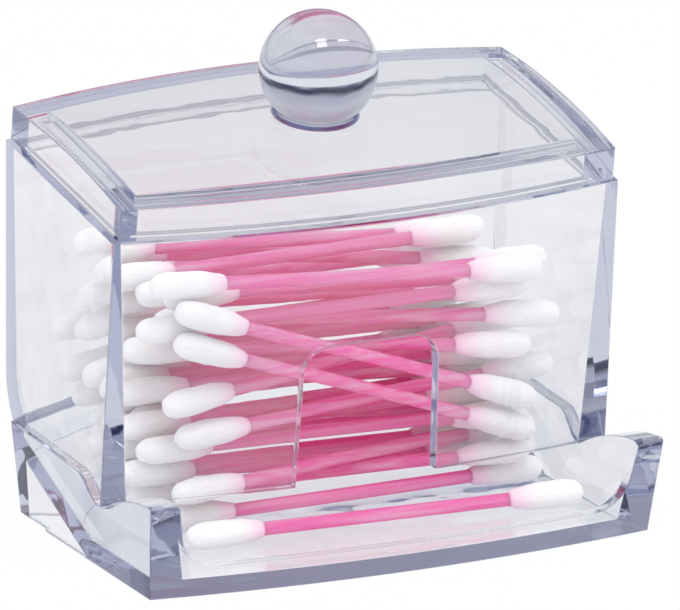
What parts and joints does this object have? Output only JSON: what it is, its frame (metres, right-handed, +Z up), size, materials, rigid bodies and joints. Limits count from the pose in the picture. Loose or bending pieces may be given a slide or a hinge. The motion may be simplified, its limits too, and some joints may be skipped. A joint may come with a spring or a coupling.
{
  "type": "cotton swab holder",
  "caption": "Clear plastic holder for cotton swabs: a box with a finger notch over an open front tray, a lift-off lid with a ball knob, filled with pink-stemmed swabs.",
  "frame": {"origin": "middle of the footprint, on the surface that the base stands on", "axes": "+Z up, -Y towards the open tray at the front, +X to the right seen from the front"},
  "size_m": [0.099, 0.0694, 0.092],
  "materials": {
    "clear_plastic": "polished clear polystyrene",
    "pink_plastic": "smooth extruded polypropylene",
    "cotton": "wound cotton"
  },
  "bodies": {
    "holder": {"base_tray": "clear_plastic", "box_shell": "clear_plastic", "swabs_layer_1_buds": "cotton", "swabs_layer_1_sticks": "pink_plastic", "swabs_layer_2_buds": "cotton", "swabs_layer_2_sticks": "pink_plastic", "swabs_layer_3_buds": "cotton", "swabs_layer_3_sticks": "pink_plastic", "swabs_layer_4_buds": "cotton", "swabs_layer_4_sticks": "pink_plastic", "swabs_layer_5_buds": "cotton", "swabs_layer_5_sticks": "pink_plastic", "swabs_layer_6_buds": "cotton", "swabs_layer_6_sticks": "pink_plastic", "swabs_layer_7_buds": "cotton", "swabs_layer_7_sticks": "pink_plastic", "swabs_layer_8_buds": "cotton", "swabs_layer_8_sticks": "pink_plastic", "swabs_layer_9_buds": "cotton", "swabs_layer_9_sticks": "pink_plastic", "tray_swab_buds": "cotton", "tray_swab_sticks": "pink_plastic"},
    "lid": {"lid": "clear_plastic", "lid_knob": "clear_plastic"}
  },
  "joints": [
    {"name": "lid_lift", "type": "slide", "parent": "holder", "child": "lid", "axis": [0, 0, 1], "range_m": [0, 0.06]}
  ]
}
